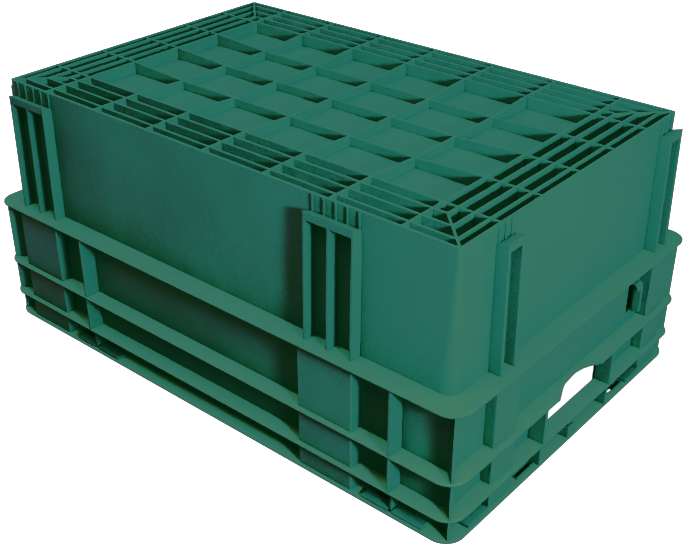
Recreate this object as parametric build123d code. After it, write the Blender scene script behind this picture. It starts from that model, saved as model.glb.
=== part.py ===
from build123d import *
import os

# Rigid stacking crate, moulded in one piece, standing upside down on its open rim.
# Z = 0 is the plane of the rim and the ribbed base is on top.  The long side runs along X.
# The moulding is divided at its natural features.  Every piece is built from convex solids
# that meet face to face, and the crate is the same again after half a turn about Z.

# Overall size (mm)
LENGTH = 600.0
WIDTH = 400.0
HEIGHT = 270.0
HALF_LENGTH = LENGTH / 2
# At every level the crate is this much longer than wide, counted from the centre
EXTRA = (LENGTH - WIDTH) / 2

# Four flanges that run all round: (bottom, top, distance of the outer edge along X)
RIM = (0.0, 3.0, 297.0)
LOWER_RIB = (25.5, 28.0, 299.0)
UPPER_RIB = (64.5, 67.0, 299.5)
LEDGE = (133.5, 136.0, 300.0)
FLANGE_RADIUS = 20.0
# Every flange is rounded under its outer edge
FLANGE_ROUND = 1.8
# Free heights between the flanges, lowest first
TIERS = ((RIM[1], LOWER_RIB[0]), (LOWER_RIB[1], UPPER_RIB[0]), (UPPER_RIB[1], LEDGE[0]))

# Walls, as distances from the centre along X
LOWER_WALL_IN = 279.0
LOWER_WALL = 282.0
LOWER_CORNER_FLAT = 2.5
UPPER_WALL_IN = 273.5
UPPER_WALL_FOOT = 277.4
UPPER_WALL_TOP = 276.0
UPPER_RADIUS_FOOT = 12.0
UPPER_RADIUS_TOP = 3.0

# Base: a floor panel under ribs, four close rings of ribs round a field of cells
FLOOR_BOTTOM = 254.0
FLOOR_TOP = 257.0
BASE_RIB = 2.0
RINGS = (265.5, 250.5, 235.5, 221.0)
MITRE_RIB = 2.2
CELLS_LONG = 6
CELLS_SHORT = 4
PITCH_LONG = (2 * RINGS[-1] - BASE_RIB) / CELLS_LONG
PITCH_SHORT = (2 * RINGS[-1] - BASE_RIB - 2 * EXTRA) / CELLS_SHORT
FIELD_RIB_TOP = 266.4
KNOT_SIZE = 7.0
KNOT_TOP = 269.4

# Stacking columns on the upper wall: plates under a sloping cap, small fins above the cap
LONG_COLUMN = {
    "starts": (-265.2, 129.3),
    "width": 53.9,
    "plates": 3,
    "plate": 2.5,
    "foot": 289.0,
    "fins": 5,
}
END_COLUMN = {
    "starts": (-127.5, 145.4),
    "width": 23.0,
    "plates": 2,
    "plate": 3.0,
    "foot": 290.0,
    "fins": 3,
}
COLUMN_DRAFT = 2.0
CAP_BOTTOM = 250.0
CAP_ROOT_TOP = 254.0
CAP_TIP_TOP = 258.0
FIN_THICKNESS = 2.0
FIN_DEPTH = 1.3
FIN_TOP = 269.4

# Hollow box sections of the lower tier, in line with the columns
BOX_SKIN = 2.5
BOX_EDGE = 1.0
LONG_BOXES = {"spans": ((-268.0, -207.5), (125.5, 187.5)), "face": 294.0}
END_BOXES = {"spans": ((-134.0, -99.5), (139.0, 173.5)), "face": 293.3}

# Upright ribs between the flanges: how far out each one reaches, lowest tier first
UPRIGHT = 2.5
LONG_UPRIGHTS = (-163.8, 231.2)
LONG_UPRIGHT_REACH = (293.0, 298.5, 298.5)
CORNER_FIN_REACH = (12.0, 14.5, 14.5)

# Hand hold in each end wall: a sloping sill, cheek plates at its sides, a finger notch above
HOLD = (-54.7, 66.1, 22.0, UPPER_RIB[0])
HOLD_SILL = ((LOWER_WALL_IN, HOLD[2]), (LOWER_WALL, HOLD[2]), (LOWER_WALL, LOWER_RIB[0]))
CHEEK = 3.0
CHEEKS = (-56.2, 64.6)
CHEEK_REACH = (296.5, 298.6)
NOTCH = (
    (-36.5, UPPER_RIB[2]),
    (-17.0, 291.3),
    (-10.5, 289.2),
    (5.0, 287.8),
    (12.0, 287.6),
    (22.5, 289.5),
    (28.6, 291.9),
    (43.0, UPPER_RIB[2]),
)

# Label hook on each end wall, over the slot left by its core
HOOK_SLOT = (114.8, 128.6, 77.0, 110.4)
HOOK_STEM = (126.0, 128.6)
HOOK_ROOF_START = 118.0
HOOK_STEM_OUTLINE = ((LOWER_WALL, 75.0), (290.0, 78.0), (290.0, 107.5), (287.3, 111.2), (LOWER_WALL, 112.4))
HOOK_ROOF_OUTER = ((290.0, 104.0), (290.0, 107.5), (287.3, 111.2), (LOWER_WALL, 112.4))
HOOK_ROOF_INNER = ((288.0, 104.0), (288.0, 106.8), (286.0, 109.5), (LOWER_WALL, 110.4))

# Small clip on the rim under each hand hold: a web, a face beside it, and a tongue on the face
CLIP_WEB = (-6.25, -3.75)
CLIP_FACE = (-3.75, 4.5)
CLIP_TONGUE = (4.5, 8.0)
CLIP_EDGES = (293.5, 296.0)
CLIP_TOP = 15.6
CLIP_TONGUE_HEIGHTS = (6.3, 11.4)

# Slots through the rim's ends, each inside a low lip, and low pads on the rim
SLOTS = ((-86.0, -59.5), (81.3, 107.2))
SLOT_EDGES = (286.0, 290.6)
LIP = 1.5
LIP_TOP = 4.5
PAD_TOP = 6.0
LONG_PADS = {
    "spans": ((-192.0, -166.0), (-159.0, -127.5), (199.5, 229.0), (233.2, 265.4)),
    "out": (284.8, 295.0),
}
END_PADS = {
    "spans": ((-167.0, -137.0), (110.0, 137.0)),
    "out": (284.5, 294.8),
}

# The two kinds of side.  "Out" is measured as on the ends, so a long side takes off the extra.
LONG_SIDE = {"along": Vector(1, 0, 0), "out": Vector(0, -1, 0), "less": EXTRA, "half": LENGTH / 2}
END_SIDE = {"along": Vector(0, 1, 0), "out": Vector(1, 0, 0), "less": 0.0, "half": WIDTH / 2}
SIDES = (LONG_SIDE, END_SIDE)
UP = Vector(0, 0, 1)
HALF_TURN = 180
OPPOSITE = {"front": "back", "back": "front", "left": "right", "right": "left"}


def place(side, along, out, height):
    """Point on a side, from its place along the side, its distance out and its height."""
    return side["along"] * along + side["out"] * (out - side["less"]) + UP * height


def prism(points, path):
    """Solid swept from a flat outline along a straight path."""
    return extrude(Face(Wire.make_polygon(points)), amount=path.length, dir=path)


def upright_prism(side, outline, bottom, top):
    """Prism standing on an outline of (along, out) points."""
    return prism([place(side, along, out, bottom) for along, out in outline], UP * (top - bottom))


def profile(side, outline, start, end):
    """Prism along a side, from an outline of (out, height) points."""
    return prism([place(side, start, out, height) for out, height in outline], side["along"] * (end - start))


def block(side, start, end, inner, outer, bottom, top):
    """Box on a side, between two places along it, two distances out and two heights."""
    return upright_prism(side, [(start, inner), (end, inner), (end, outer), (start, outer)], bottom, top)


def strip(side, inner, outer, bottom, top, cut_back=0.0):
    """Mitred bar of a square ring, its slanting ends cut back to make room for a mitre rib."""
    short = side["half"] - HALF_LENGTH - cut_back * 2**0.5
    near, far = inner + short, outer + short
    outline = [(-near, inner), (near, inner), (far, outer), (-far, outer)]
    return upright_prism(side, outline, bottom, top)


def flange_bar(side, flange, inner):
    """One side of a flange, mitred at the corners and rounded outside and below."""
    bottom, top, outer = flange
    sketch = RectangleRounded(2 * outer, 2 * (outer - EXTRA), FLANGE_RADIUS)
    plate = extrude(Pos(0, 0, bottom) * sketch, amount=top - bottom)
    plate = fillet(plate.faces().sort_by(Axis.Z)[0].edges(), FLANGE_ROUND)
    return plate & strip(side, inner, HALF_LENGTH, bottom, top)


def tiles(side, half, inner, outer, bottom, top, holes):
    """Boxes that fill a plate round its rectangular holes, given as (start, end, bottom, top)."""
    boxes = []
    levels = sorted({bottom, top, *(level for hole in holes for level in hole[2:])})
    for low, high in zip(levels, levels[1:]):
        crossed = sorted(hole for hole in holes if hole[2] <= low and hole[3] >= high)
        edges = [-half, *(edge for hole in crossed for edge in hole[:2]), half]
        boxes += [block(side, *pair, inner, outer, low, high) for pair in zip(edges[::2], edges[1::2])]
    return boxes


def lower_wall(side, holes):
    """Lower wall of one side: mitred, its outer corner trimmed flat for the corner fin."""
    sketch = Rectangle(2 * LOWER_WALL, 2 * (LOWER_WALL - EXTRA))
    trimmed = chamfer(sketch.vertices(), LOWER_CORNER_FLAT / 2**0.5)
    keep = extrude(trimmed, amount=LEDGE[0]) & strip(side, LOWER_WALL_IN, LOWER_WALL, 0, LEDGE[0])
    boxes = tiles(side, side["half"], LOWER_WALL_IN, LOWER_WALL, 0, LEDGE[0], holes)
    return [box & keep for box in boxes]


def upper_wall(side):
    """Upper wall of one side: drafted and rounded outside, square and upright inside."""
    levels = ((UPPER_WALL_FOOT, UPPER_RADIUS_FOOT, LEDGE[1]), (UPPER_WALL_TOP, UPPER_RADIUS_TOP, HEIGHT))
    outlines = [
        Pos(0, 0, z) * RectangleRounded(2 * out, 2 * (out - EXTRA), radius)
        for out, radius, z in levels
    ]
    return loft(outlines) & strip(side, UPPER_WALL_IN, HALF_LENGTH, LEDGE[1], HEIGHT)


def wall_out(height):
    """Outer face of the drafted upper wall at a height."""
    share = (height - LEDGE[1]) / (HEIGHT - LEDGE[1])
    return UPPER_WALL_FOOT + (UPPER_WALL_TOP - UPPER_WALL_FOOT) * share


def spread(start, width, count, thickness):
    """Start and end of equal plates, the first and last flush with the ends of a width."""
    step = (width - thickness) / (count - 1)
    return [(start + step * i, start + step * i + thickness) for i in range(count)]


def column(side, kind, start):
    """Stacking column: its plates, its cap, and the fins above the cap."""
    foot, tip, width = LEDGE[1], kind["foot"] - COLUMN_DRAFT, kind["width"]
    wall, root = wall_out(CAP_BOTTOM), wall_out(CAP_ROOT_TOP)
    plate = [(wall_out(foot), foot), (kind["foot"], foot), (tip, CAP_BOTTOM), (wall, CAP_BOTTOM)]
    cap = [(wall, CAP_BOTTOM), (tip, CAP_BOTTOM), (tip, CAP_TIP_TOP), (root, CAP_ROOT_TOP)]
    fin_foot = CAP_ROOT_TOP + (CAP_TIP_TOP - CAP_ROOT_TOP) * FIN_DEPTH / (tip - root)
    fin_edge = root + FIN_DEPTH
    fin = [(root, CAP_ROOT_TOP), (fin_edge, fin_foot), (fin_edge, FIN_TOP), (wall_out(FIN_TOP), FIN_TOP)]
    inset = kind["plate"] / 2
    shapes = [profile(side, plate, *ends) for ends in spread(start, width, kind["plates"], kind["plate"])]
    shapes.append(profile(side, cap, start, start + width))
    fins = spread(start + inset, width - 2 * inset, kind["fins"], FIN_THICKNESS)
    return shapes + [profile(side, fin, *ends) for ends in fins]


def box_section(side, kind, span):
    """Hollow box on the lower wall: a face with eased edges and two cheeks in every tier."""
    start, end = span
    face, back = kind["face"], kind["face"] - BOX_SKIN
    right_edge = [(end, back), (end, face - BOX_EDGE), (end - BOX_EDGE, face)]
    left_edge = [(start + BOX_EDGE, face), (start, face - BOX_EDGE), (start, back)]
    shapes = []
    for bottom, top in TIERS:
        shapes.append(upright_prism(side, right_edge + left_edge, bottom, top))
        shapes.append(block(side, start, start + BOX_SKIN, LOWER_WALL, back, bottom, top))
        shapes.append(block(side, end - BOX_SKIN, end, LOWER_WALL, back, bottom, top))
    return shapes


def upright(side, middle, thickness, reaches):
    """Plate square to the lower wall, in as many tiers as it has reaches."""
    start, end = middle - thickness / 2, middle + thickness / 2
    return [
        block(side, start, end, LOWER_WALL, reach, bottom, top)
        for reach, (bottom, top) in zip(reaches, TIERS)
    ]


def corner_fin(sign):
    """Plates on the diagonal of a corner; the sign is that of the corner's Y."""
    out = Vector(1, sign, 0).normalized()
    half = Vector(-sign, 1, 0).normalized() * (UPRIGHT / 2)
    corner = Vector(LOWER_WALL, sign * (LOWER_WALL - EXTRA), 0)
    foot = corner - out * (LOWER_CORNER_FLAT / 2)
    shapes = []
    for reach, (bottom, top) in zip(CORNER_FIN_REACH, TIERS):
        tip = corner + out * reach
        outline = [foot - half, tip - half, tip + half, foot + half]
        shapes.append(prism([point + UP * bottom for point in outline], UP * (top - bottom)))
    return shapes


def upper_rib_end():
    """End of the upper rib, in convex pieces round its finger notch."""
    bottom, top, outer = UPPER_RIB
    bar = flange_bar(END_SIDE, UPPER_RIB, LOWER_WALL)
    spans = ((-END_SIDE["half"], NOTCH[0][0]), (NOTCH[-1][0], END_SIDE["half"]))
    shapes = [bar & block(END_SIDE, *span, LOWER_WALL, outer, bottom, top) for span in spans]
    for (start, reach), (end, next_reach) in zip(NOTCH, NOTCH[1:]):
        outline = [(start, LOWER_WALL), (start, reach), (end, next_reach), (end, LOWER_WALL)]
        shapes.append(upright_prism(END_SIDE, outline, bottom, top))
    return shapes


def rim_end():
    """End of the rim, in convex pieces round its two slots."""
    bottom, top, outer = RIM
    bar = flange_bar(END_SIDE, RIM, LOWER_WALL)
    edges = [-END_SIDE["half"], *SLOTS[0], *SLOTS[1], END_SIDE["half"]]
    spans = zip(edges[::2], edges[1::2])
    shapes = [bar & block(END_SIDE, *span, LOWER_WALL, outer, bottom, top) for span in spans]
    for slot in SLOTS:
        shapes.append(block(END_SIDE, *slot, LOWER_WALL, SLOT_EDGES[0], bottom, top))
        shapes.append(bar & block(END_SIDE, *slot, SLOT_EDGES[1], outer, bottom, top))
    return shapes


def tag_clip():
    """Small clip that stands on the rim and ties its face to the wall with a web."""
    inner, outer = CLIP_EDGES
    return [
        block(END_SIDE, *CLIP_WEB, LOWER_WALL, outer, RIM[1], CLIP_TOP),
        block(END_SIDE, *CLIP_FACE, inner, outer, RIM[1], CLIP_TOP),
        block(END_SIDE, *CLIP_TONGUE, inner, outer, *CLIP_TONGUE_HEIGHTS),
    ]


def slot_lips():
    """Low lip round each slot, standing on the rim."""
    inner, outer = SLOT_EDGES
    shapes = []
    for start, end in SLOTS:
        for span in ((start - LIP, start), (end, end + LIP)):
            shapes.append(block(END_SIDE, *span, inner - LIP, outer + LIP, RIM[1], LIP_TOP))
        for edges in ((inner - LIP, inner), (outer, outer + LIP)):
            shapes.append(block(END_SIDE, start, end, *edges, RIM[1], LIP_TOP))
    return shapes


def rim_pads(side, kind):
    """Low flat pads on the rim."""
    return [block(side, *span, *kind["out"], RIM[1], PAD_TOP) for span in kind["spans"]]


def label_hook():
    """Upright stem beside the slot, and a roof that curls from the stem over the slot."""
    shapes = [profile(END_SIDE, HOOK_STEM_OUTLINE, *HOOK_STEM)]
    outer, inner = HOOK_ROOF_OUTER, HOOK_ROOF_INNER
    for i in range(len(outer) - 1):
        shapes.append(
            profile(END_SIDE, [inner[i], outer[i], outer[i + 1], inner[i + 1]], HOOK_ROOF_START, HOOK_STEM[0])
        )
    return shapes


def ring_bar(side, outer):
    """One side of a ring of base ribs."""
    return strip(side, outer - BASE_RIB, outer, FLOOR_TOP, HEIGHT, MITRE_RIB / 2)


def border_bar(side):
    """One side of the innermost ring, between two corner knots."""
    outer = RINGS[-1]
    half = side["half"] - HALF_LENGTH + outer - BASE_RIB / 2 - KNOT_SIZE / 2
    return block(side, -half, half, outer - BASE_RIB, outer, FLOOR_TOP, HEIGHT)


def cross_ribs(side, cells, pitch):
    """Short ribs that tie the rings to each other and to the wall."""
    edges = (UPPER_WALL_IN + BASE_RIB, *RINGS)
    shapes = []
    for line in range(cells + 1):
        middle = pitch * (line - cells / 2)
        corner = line in (0, cells)
        for outer, inner in zip(edges, edges[1:]):
            gap = KNOT_SIZE / 2 - BASE_RIB / 2 if corner and inner == RINGS[-1] else 0
            span = (middle - BASE_RIB / 2, middle + BASE_RIB / 2)
            shapes.append(block(side, *span, inner + gap, outer - BASE_RIB, FLOOR_TOP, HEIGHT))
    return shapes


def field_ribs(side, cells, pitch, lines, line_pitch, cut):
    """Ribs of the field square to a side, a segment to each cell, dished away from the rings."""
    less = side["less"]
    border = RINGS[-1] - BASE_RIB - less
    shapes = []
    for line in range(1, lines):
        middle = line_pitch * (line - lines / 2)
        for cell in range(cells):
            first, last = cell == 0, cell == cells - 1
            start = less + (-border if first else pitch * (cell - cells / 2) + cut)
            end = less + (border if last else pitch * (cell + 1 - cells / 2) - cut)
            outline = [
                (start, FLOOR_TOP),
                (end, FLOOR_TOP),
                (end, HEIGHT if last else FIELD_RIB_TOP),
                (start, HEIGHT if first else FIELD_RIB_TOP),
            ]
            shapes.append(profile(side, outline, middle - BASE_RIB / 2, middle + BASE_RIB / 2))
    return shapes


def mitre_rib(sign):
    """Rib on the diagonal of a base corner, from the wall to the third ring."""
    out = Vector(1, sign, 0).normalized() * (MITRE_RIB / 2)
    side = Vector(-sign, 1, 0).normalized() * (MITRE_RIB / 2)
    ring = RINGS[2] - BASE_RIB
    inner = Vector(ring, sign * (ring - EXTRA), FLOOR_TOP) - out
    tip = Vector(UPPER_WALL_IN, sign * (UPPER_WALL_IN - EXTRA), FLOOR_TOP)
    outline = [inner - side, tip - out - side, tip, tip - out + side, inner + side]
    return prism(outline, UP * (HEIGHT - FLOOR_TOP))


def knot(sign):
    """Small eight-sided post where the innermost ring turns its corner."""
    middle = RINGS[-1] - BASE_RIB / 2
    corner = KNOT_SIZE * (1 - 1 / 2**0.5)
    sketch = chamfer(Rectangle(KNOT_SIZE, KNOT_SIZE).vertices(), corner)
    return extrude(Pos(middle, sign * (middle - EXTRA), FLOOR_TOP) * sketch, amount=KNOT_TOP - FLOOR_TOP)


def turned(shapes):
    """The same shapes after half a turn about Z."""
    return [shape.rotate(Axis.Z, HALF_TURN) for shape in shapes]


def save(name, shapes):
    """Write one node, which may hold several separate solids."""
    solids = [solid for shape in shapes for solid in shape.solids()]
    export_step(solids[0] if len(solids) == 1 else Compound(children=solids), f"parts/{name}.step")


def save_pair(name, shapes):
    """Write a node, and its half-turn twin under the name of the opposite place."""
    save(name, shapes)
    save("_".join(OPPOSITE.get(word, word) for word in name.split("_")), turned(shapes))


def save_all_round(name, shapes):
    """Write a node that holds a feature and its half-turn twin."""
    save(name, shapes + turned(shapes))


os.makedirs("parts", exist_ok=True)

# Base
panel = Rectangle(2 * UPPER_WALL_IN, 2 * (UPPER_WALL_IN - EXTRA))
save("floor_panel", [extrude(Pos(0, 0, FLOOR_BOTTOM) * panel, amount=FLOOR_TOP - FLOOR_BOTTOM)])
for name, side, cells, pitch in (
    ("front", LONG_SIDE, CELLS_LONG, PITCH_LONG),
    ("right", END_SIDE, CELLS_SHORT, PITCH_SHORT),
):
    rings = [ring_bar(side, outer) for outer in RINGS[:-1]]
    save_pair(f"base_band_{name}", [*rings, border_bar(side), *cross_ribs(side, cells, pitch)])
across = field_ribs(LONG_SIDE, CELLS_SHORT, PITCH_SHORT, CELLS_LONG, PITCH_LONG, 0)
along = field_ribs(END_SIDE, CELLS_LONG, PITCH_LONG, CELLS_SHORT, PITCH_SHORT, BASE_RIB / 2)
save("base_field_ribs", across + along)
save_all_round("base_mitre_ribs", [mitre_rib(-1), mitre_rib(1)])
save_all_round("base_corner_knots", [knot(-1), knot(1)])

# Walls and the flanges round them
for name, side, holes in (("front", LONG_SIDE, []), ("right", END_SIDE, [HOLD, HOOK_SLOT])):
    save_pair(f"upper_wall_{name}", [upper_wall(side)])
    save_pair(f"lower_wall_{name}", lower_wall(side, holes))
save_all_round("middle_ledge", [flange_bar(side, LEDGE, UPPER_WALL_IN) for side in SIDES])
save_all_round("upper_rib", [flange_bar(LONG_SIDE, UPPER_RIB, LOWER_WALL), *upper_rib_end()])
save_all_round("lower_rib", [flange_bar(side, LOWER_RIB, LOWER_WALL) for side in SIDES])
save_all_round("rim_flange", [flange_bar(LONG_SIDE, RIM, LOWER_WALL), *rim_end()])

# Columns on the upper wall, and the box sections below them
for name, side, columns, boxes, places in (
    ("front", LONG_SIDE, LONG_COLUMN, LONG_BOXES, ("left", "right")),
    ("right", END_SIDE, END_COLUMN, END_BOXES, ("front", "back")),
):
    for place_name, start, span in zip(places, columns["starts"], boxes["spans"]):
        save_pair(f"column_{name}_{place_name}", column(side, columns, start))
        save_pair(f"box_section_{name}_{place_name}", box_section(side, boxes, span))

# Plates between the flanges
uprights = [upright(LONG_SIDE, middle, UPRIGHT, LONG_UPRIGHT_REACH) for middle in LONG_UPRIGHTS]
save_pair("upright_ribs_front", sum(uprights, []))
save_pair("corner_fin_front_right", corner_fin(-1))
save_pair("corner_fin_back_right", corner_fin(1))
cheeks = [upright(END_SIDE, middle, CHEEK, CHEEK_REACH) for middle in CHEEKS]
save_pair("hand_hold_plates_right", sum(cheeks, []))
save_pair("hand_hold_sill_right", [profile(END_SIDE, HOLD_SILL, *HOLD[:2])])

# Label hooks, and the small things on the rim
save_pair("label_hook_right", label_hook())
save_pair("rim_clip_right", tag_clip())
save_pair("rim_slot_lips_right", slot_lips())
save_pair("rim_pads_front", rim_pads(LONG_SIDE, LONG_PADS))
save_pair("rim_pads_right", rim_pads(END_SIDE, END_PADS))
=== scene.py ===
import bpy
import math
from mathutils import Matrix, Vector

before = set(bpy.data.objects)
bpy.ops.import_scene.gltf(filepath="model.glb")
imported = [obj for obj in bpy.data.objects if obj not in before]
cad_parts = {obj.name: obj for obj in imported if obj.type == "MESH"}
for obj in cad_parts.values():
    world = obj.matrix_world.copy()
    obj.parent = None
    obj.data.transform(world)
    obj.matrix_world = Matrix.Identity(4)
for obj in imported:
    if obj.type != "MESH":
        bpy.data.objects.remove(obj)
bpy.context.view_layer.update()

# ---------------------------------------------------------------- camera
CAMERA_AT = (0.67002, -0.77537, 0.66134)
CAMERA_AZIMUTH = 40.21
CAMERA_ELEVATION = 30.04
LENS_MM = 58.40
SENSOR_MM = 36.0


def backwards(azimuth, elevation):
    """Unit vector from the scene towards a place at an azimuth and elevation in degrees."""
    a, e = math.radians(azimuth), math.radians(elevation)
    return Vector((math.sin(a) * math.cos(e), -math.cos(a) * math.cos(e), math.sin(e)))


def add_camera():
    data = bpy.data.cameras.new("camera")
    data.lens, data.sensor_width = LENS_MM, SENSOR_MM
    data.clip_start, data.clip_end = 0.05, 50.0
    camera = bpy.data.objects.new("camera", data)
    bpy.context.collection.objects.link(camera)
    camera.location = CAMERA_AT
    camera.rotation_mode = "QUATERNION"
    forward = -backwards(CAMERA_AZIMUTH, CAMERA_ELEVATION)
    camera.rotation_quaternion = forward.to_track_quat("-Z", "Y")
    bpy.context.scene.camera = camera


# ---------------------------------------------------------------- lights
LIGHTS = (
    # name, azimuth, elevation, distance, size, watts, colour
    ("key", 66.0, 18.0, 1.4, 0.25, 20.0, (1.0, 1.0, 1.0)),
    ("high_front", 0.0, 61.0, 1.6, 1.0, 17.0, (1.1, 1.0, 0.95)),
    ("high_right", 98.0, 58.0, 1.6, 1.0, 14.0, (1.15, 1.0, 0.9)),
    ("high_left", -80.0, 50.0, 1.6, 1.0, 6.0, (1.7, 1.05, 1.0)),
    ("high_back", 200.0, 60.0, 1.6, 1.0, 2.0, (1.0, 1.0, 1.0)),
    ("low_left", -60.0, 15.0, 1.8, 1.0, 0.8, (0.6, 1.0, 0.8)),
    ("low_right", 90.0, 15.0, 1.8, 1.0, 0.6, (1.0, 1.0, 1.0)),
    ("low_back", 215.0, 6.0, 1.5, 0.6, 26.0, (1.0, 1.0, 1.0)),
    ("low_far_left", 260.0, 6.0, 1.5, 0.5, 12.0, (1.0, 1.0, 1.0)),
)
AIM = Vector((0.1, -0.05, 0.18))
# Lights for the sides that the camera doesn't see.  The front wall gets a little of them too.
# They give no glints, which would show on the edges in view.
NO_GLINTS = ("low_back", "low_far_left")


def add_light(name, azimuth, elevation, distance, size, watts, colour):
    data = bpy.data.lights.new(name, "AREA")
    data.shape, data.size, data.energy, data.color = "DISK", size, watts, colour
    lamp = bpy.data.objects.new(name, data)
    bpy.context.collection.objects.link(lamp)
    back = backwards(azimuth, elevation)
    lamp.visible_glossy = name not in NO_GLINTS
    lamp.location = AIM + back * distance
    lamp.rotation_mode = "QUATERNION"
    lamp.rotation_quaternion = (-back).to_track_quat("-Z", "Y")


def node(tree, kind, **values):
    made = tree.nodes.new(kind)
    for key, value in values.items():
        if key in made.inputs:
            made.inputs[key].default_value = value
        else:
            setattr(made, key, value)
    return made


def maths(tree, operation, *values):
    """Output of a maths node, each of whose inputs is a number or another node's output."""
    made = tree.nodes.new("ShaderNodeMath")
    made.operation = operation
    for socket, value in zip(made.inputs, values):
        if isinstance(value, (int, float)):
            socket.default_value = value
        else:
            tree.links.new(value, socket)
    return made.outputs[0]


WORLD_LIGHT = 0.0
WHITE = (1, 1, 1, 1)


def add_world():
    """White behind the object for the camera, and no light on the object."""
    world = bpy.data.worlds.new("studio")
    bpy.context.scene.world = world
    world.use_nodes = True
    tree = world.node_tree
    tree.nodes.clear()
    out = node(tree, "ShaderNodeOutputWorld")
    seen = node(tree, "ShaderNodeBackground", Color=WHITE, Strength=1.0)
    glow = node(tree, "ShaderNodeBackground", Color=WHITE, Strength=WORLD_LIGHT)
    path = node(tree, "ShaderNodeLightPath")
    mix = node(tree, "ShaderNodeMixShader")
    tree.links.new(path.outputs["Is Camera Ray"], mix.inputs[0])
    tree.links.new(glow.outputs[0], mix.inputs[1])
    tree.links.new(seen.outputs[0], mix.inputs[2])
    tree.links.new(mix.outputs[0], out.inputs[0])


FLOOR_HALF = 6.0
# Just below the rim, so that the two faces don't fight for the same plane
FLOOR_HEIGHT = -0.0002
FLOOR_PAINT = 0.3
FLOOR_GLOW = 1.1
# Painted shade: dark strips on the floor under the rim's slots at the right, with their range in X,
# their ends in Y, and the stretch in Y that stays white.  Those at the left are the same after a half
# turn.
STRIP = (0.2835, 0.2930)
STRIP_END = 0.112
STRIP_WHITE = (-0.050, 0.094)


def within(tree, value, low, high):
    """One between two values, and zero outside them."""
    above = maths(tree, "GREATER_THAN", value, low)
    return maths(tree, "MULTIPLY", above, maths(tree, "LESS_THAN", value, high))


def add_floor():
    """Plain white floor, with painted shade in dark strips on it under the rim's slots."""
    size = FLOOR_HALF
    corners = [(-size, -size, 0), (size, -size, 0), (size, size, 0), (-size, size, 0)]
    mesh = bpy.data.meshes.new("floor")
    mesh.from_pydata(corners, [], [(0, 1, 2, 3)])
    floor = bpy.data.objects.new("floor", mesh)
    floor.location.z = FLOOR_HEIGHT
    bpy.context.collection.objects.link(floor)
    material = bpy.data.materials.new("floor")
    material.use_nodes = True
    tree = material.node_tree
    tree.nodes.clear()
    out = node(tree, "ShaderNodeOutputMaterial")
    paint = node(tree, "ShaderNodeBsdfDiffuse")
    glow = node(tree, "ShaderNodeEmission", Color=WHITE)
    path = node(tree, "ShaderNodeLightPath")
    place = node(tree, "ShaderNodeTexCoord")
    axes = node(tree, "ShaderNodeSeparateXYZ")
    tree.links.new(place.outputs["Object"], axes.inputs[0])
    x, y = axes.outputs[0], axes.outputs[1]
    out_x = maths(tree, "ABSOLUTE", x)
    along = maths(tree, "MULTIPLY", y, maths(tree, "SIGN", x))
    band = within(tree, out_x, *STRIP)
    lit = within(tree, along, *STRIP_WHITE)
    near = maths(tree, "LESS_THAN", maths(tree, "ABSOLUTE", y), STRIP_END)
    strip = maths(tree, "MULTIPLY", band, near)
    # painted shade under the rim's slots, where the floor lies in the crate's shadow
    painted_slot_shade = maths(tree, "MULTIPLY", strip, maths(tree, "SUBTRACT", 1.0, lit))
    white = maths(tree, "SUBTRACT", 1.0, painted_slot_shade)
    seen = maths(tree, "MULTIPLY", path.outputs["Is Camera Ray"], white)
    strength = maths(tree, "MULTIPLY", seen, FLOOR_GLOW)
    both = node(tree, "ShaderNodeAddShader")
    tree.links.new(strength, glow.inputs["Strength"])
    tree.links.new(maths(tree, "MULTIPLY", FLOOR_PAINT, white), paint.inputs["Color"])
    tree.links.new(paint.outputs[0], both.inputs[0])
    tree.links.new(glow.outputs[0], both.inputs[1])
    tree.links.new(both.outputs[0], out.inputs[0])
    mesh.materials.append(material)


# ---------------------------------------------------------------- material
GREEN = (0.034, 0.178, 0.122)
# Darker green for painted shade in the creases
CREASE_SHADE_GREEN = (0.010, 0.075, 0.045)
WORN_GREEN = (0.085, 0.270, 0.200)
# Paler green for painted light on the upper faces of the flanges
TOP_LIT_GREEN = (0.085, 0.330, 0.195)
# Share of the paler green on the upper faces of the flanges.  It stands in for light that the
# lights above don't give these faces; it isn't wear, and zero gives the crate one colour.
TOP_LIGHT_SHARE = {"middle_ledge": 0.5, "upper_rib": 1.0, "lower_rib": 1.0, "rim_flange": 1.0}
# Sizes in metres of what shows in the plastic: clouds, streaks, moulded grain, pinhead specks
CLOUD, STREAK, GRAIN, SPECK = 0.090, 0.012, 0.0011, 0.0018
# Reach in metres of the worn edges and of the painted shade in the creases
EDGE, CREASE = 0.0007, 0.0025
EDGE_GAIN = 4.0
# Strength of the painted shade in the creases
CREASE_SHADE = 0.45
GRAIN_BUMP, STREAK_BUMP = 0.00005, 0.00012
SPECULAR = 0.3
# Least height of a face's normal for the face to count as looking up
UPWARD = 0.7
# Range that noise mostly keeps to, and what it becomes in colour, roughness, wear and the pale green
# of painted light
NOISE_RANGE = (0.3, 0.7)
CLOUD_SHADE, SPECK_SHADE, STREAK_SHADE = (0.95, 1.05), (0.92, 1.08), (0.97, 1.03)
STREAK_ROUGHNESS, SPECK_ROUGHNESS = (0.50, 0.60), (-0.03, 0.03)
STREAK_WEAR, STREAK_TOP_LIT = (0.15, 0.8), (0.85, 1.0)


def noise(tree, place, size, detail=2.0, stretch=(1.0, 1.0, 1.0)):
    """Noise of one feature size, in metres, read at the place on the object."""
    scaled = node(tree, "ShaderNodeVectorMath", operation="MULTIPLY")
    scaled.inputs[1].default_value = [s / size for s in stretch]
    tree.links.new(place, scaled.inputs[0])
    made = node(tree, "ShaderNodeTexNoise", Scale=1.0, Detail=detail, Roughness=0.55)
    tree.links.new(scaled.outputs[0], made.inputs["Vector"])
    return made.outputs["Fac"]


def spread(tree, value, low, high):
    """Noise spread from its own range over a new one."""
    made = node(tree, "ShaderNodeMapRange")
    for socket, number in zip(made.inputs[1:5], (*NOISE_RANGE, low, high)):
        socket.default_value = number
    tree.links.new(value, made.inputs[0])
    return made.outputs[0]


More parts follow.
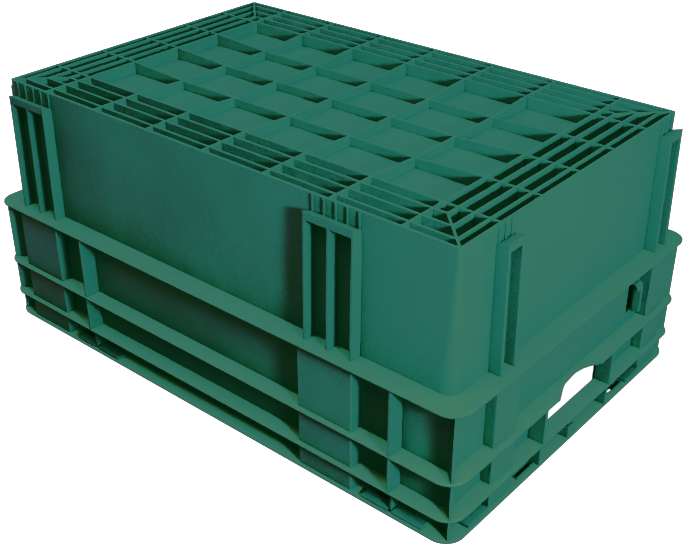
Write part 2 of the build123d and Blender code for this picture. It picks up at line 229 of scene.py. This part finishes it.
def mixed(tree, share, first, second):
    """Colour between two, each a colour or another node's output."""
    made = node(tree, "ShaderNodeMix", data_type="RGBA")
    for socket, value in ((made.inputs[0], share), (made.inputs[6], first), (made.inputs[7], second)):
        if isinstance(value, tuple):
            socket.default_value = (*value, 1)
        else:
            tree.links.new(value, socket)
    return made.outputs[2]


def green_plastic(name, top_light):
    """Satin moulded plastic: cloudy green, fine grain, paler along worn edges, and painted shade
    in the creases.

    The second argument is the share of paler green, painted light, on the faces that look up."""
    material = bpy.data.materials.new(name)
    material.use_nodes = True
    tree = material.node_tree
    shader = tree.nodes["Principled BSDF"]
    place = node(tree, "ShaderNodeTexCoord").outputs["Object"]

    cloud = noise(tree, place, CLOUD, 3.0)
    streak = noise(tree, place, STREAK, 3.0, (1.0, 1.0, 0.25))
    grain = noise(tree, place, GRAIN, 3.0)
    speck = noise(tree, place, SPECK, 2.0)

    # how far the surface bends within a hair's breadth: worn edges
    rounded = node(tree, "ShaderNodeBevel")
    rounded.samples = 4
    rounded.inputs["Radius"].default_value = EDGE
    flat = node(tree, "ShaderNodeNewGeometry")
    bend = node(tree, "ShaderNodeVectorMath", operation="DOT_PRODUCT")
    tree.links.new(rounded.outputs[0], bend.inputs[0])
    tree.links.new(flat.outputs["True Normal"], bend.inputs[1])
    edge = maths(tree, "SUBTRACT", 1.0, bend.outputs["Value"])
    bent = maths(tree, "MINIMUM", maths(tree, "MULTIPLY", edge, EDGE_GAIN), 1.0)
    worn = maths(tree, "MULTIPLY", bent, spread(tree, streak, *STREAK_WEAR))

    # how closed in the surface is within a few millimetres: painted shade in the creases
    closed = node(tree, "ShaderNodeAmbientOcclusion")
    closed.samples = 8
    closed.inputs["Distance"].default_value = CREASE
    crease_shade = maths(tree, "MULTIPLY", maths(tree, "SUBTRACT", 1.0, closed.outputs["AO"]), CREASE_SHADE)

    shade = spread(tree, cloud, *CLOUD_SHADE)
    shade = maths(tree, "MULTIPLY", shade, spread(tree, speck, *SPECK_SHADE))
    shade = maths(tree, "MULTIPLY", shade, spread(tree, streak, *STREAK_SHADE))
    body = node(tree, "ShaderNodeVectorMath", operation="SCALE")
    body.inputs[0].default_value = GREEN
    tree.links.new(shade, body.inputs["Scale"])
    facing = node(tree, "ShaderNodeSeparateXYZ")
    tree.links.new(flat.outputs["True Normal"], facing.inputs[0])
    # painted light: faces that look up take a share of the paler green
    upward = maths(tree, "GREATER_THAN", facing.outputs[2], UPWARD)
    top_lit = maths(tree, "MULTIPLY", upward, top_light)
    top_lit = maths(tree, "MULTIPLY", top_lit, spread(tree, streak, *STREAK_TOP_LIT))
    colour = mixed(tree, top_lit, body.outputs[0], TOP_LIT_GREEN)
    colour = mixed(tree, worn, colour, WORN_GREEN)
    # painted shade: darker green mixed in where the surface closes in
    colour = mixed(tree, crease_shade, colour, CREASE_SHADE_GREEN)
    tree.links.new(colour, shader.inputs["Base Color"])

    roughness = spread(tree, streak, *STREAK_ROUGHNESS)
    roughness = maths(tree, "ADD", roughness, spread(tree, speck, *SPECK_ROUGHNESS))
    tree.links.new(roughness, shader.inputs["Roughness"])
    shader.inputs["Specular IOR Level"].default_value = SPECULAR

    # moulded grain over a faint unevenness of the wall
    fine = maths(tree, "MULTIPLY", grain, GRAIN_BUMP)
    height = maths(tree, "ADD", fine, maths(tree, "MULTIPLY", streak, STREAK_BUMP))
    bump = node(tree, "ShaderNodeBump", Strength=1.0, Distance=1.0)
    tree.links.new(height, bump.inputs["Height"])
    tree.links.new(rounded.outputs[0], bump.inputs["Normal"])
    tree.links.new(bump.outputs[0], shader.inputs["Normal"])
    return material


# Copies of the plastic with none, half or all of the painted light on faces that look up
plastics = {
    top_light: green_plastic(name, top_light)
    for name, top_light in (
        ("green_plastic", 0.0),
        ("green_plastic_half_top_lit", 0.5),
        ("green_plastic_top_lit", 1.0),
    )
}
for name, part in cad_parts.items():
    part.data.materials.clear()
    part.data.materials.append(plastics[TOP_LIGHT_SHARE.get(name, 0.0)])

add_camera()
for light in LIGHTS:
    add_light(*light)
add_world()
add_floor()

# ---------------------------------------------------------------- tone
# Contrast of the picture for red, green and blue, in levels from 0 to 1 as a screen shows them.
# Dark faces follow one slow line and lit faces another, with a quick change between the two, and
# the highlights follow a steep line up to white.  The numbers were fitted to one catalogue
# picture from one direction, so this isn't a neutral view of the plastic.
TONE = (
    # black, dark slope, lit start, lit slope, change at, change width, highlight slope
    (0.000, 0.14, 0.000, 0.660, 0.185, 0.025, 1.21),
    (0.058, 0.33, 0.320, 0.245, 0.403, 0.019, 1.71),
    (0.003, 0.31, 0.366, 0.053, 0.332, 0.020, 1.35),
)
TONE_STEPS = 60


def scene_light(level):
    """Amount of light that a screen shows as a level, by the sRGB standard."""
    if level <= 0.04045:
        return level / 12.92
    return ((level + 0.055) / 1.055) ** 2.4


def toned(level, black, dark_slope, lit_start, lit_slope, change_at, change_width, highlight):
    """Level that a channel gets in place of its own."""
    lit = 1.0 / (1.0 + math.exp((change_at - level) / change_width))
    dark_level = black + dark_slope * level
    lit_level = lit_start + lit_slope * level
    return max((1.0 - lit) * dark_level + lit * lit_level, 1.0 - highlight * (1.0 - level))


def add_tone():
    view = bpy.context.scene.view_settings
    view.view_transform = "Standard"
    view.use_curve_mapping = True
    levels = [step / TONE_STEPS for step in range(TONE_STEPS + 1)]
    for curve, shape in zip(view.curve_mapping.curves, TONE):
        points = [(scene_light(level), scene_light(toned(level, *shape))) for level in levels]
        curve.points[0].location = points[0]
        curve.points[-1].location = points[-1]
        for point in points[1:-1]:
            curve.points.new(*point)
        for point in curve.points:
            point.handle_type = "AUTO_CLAMPED"
    view.curve_mapping.update()


add_tone()
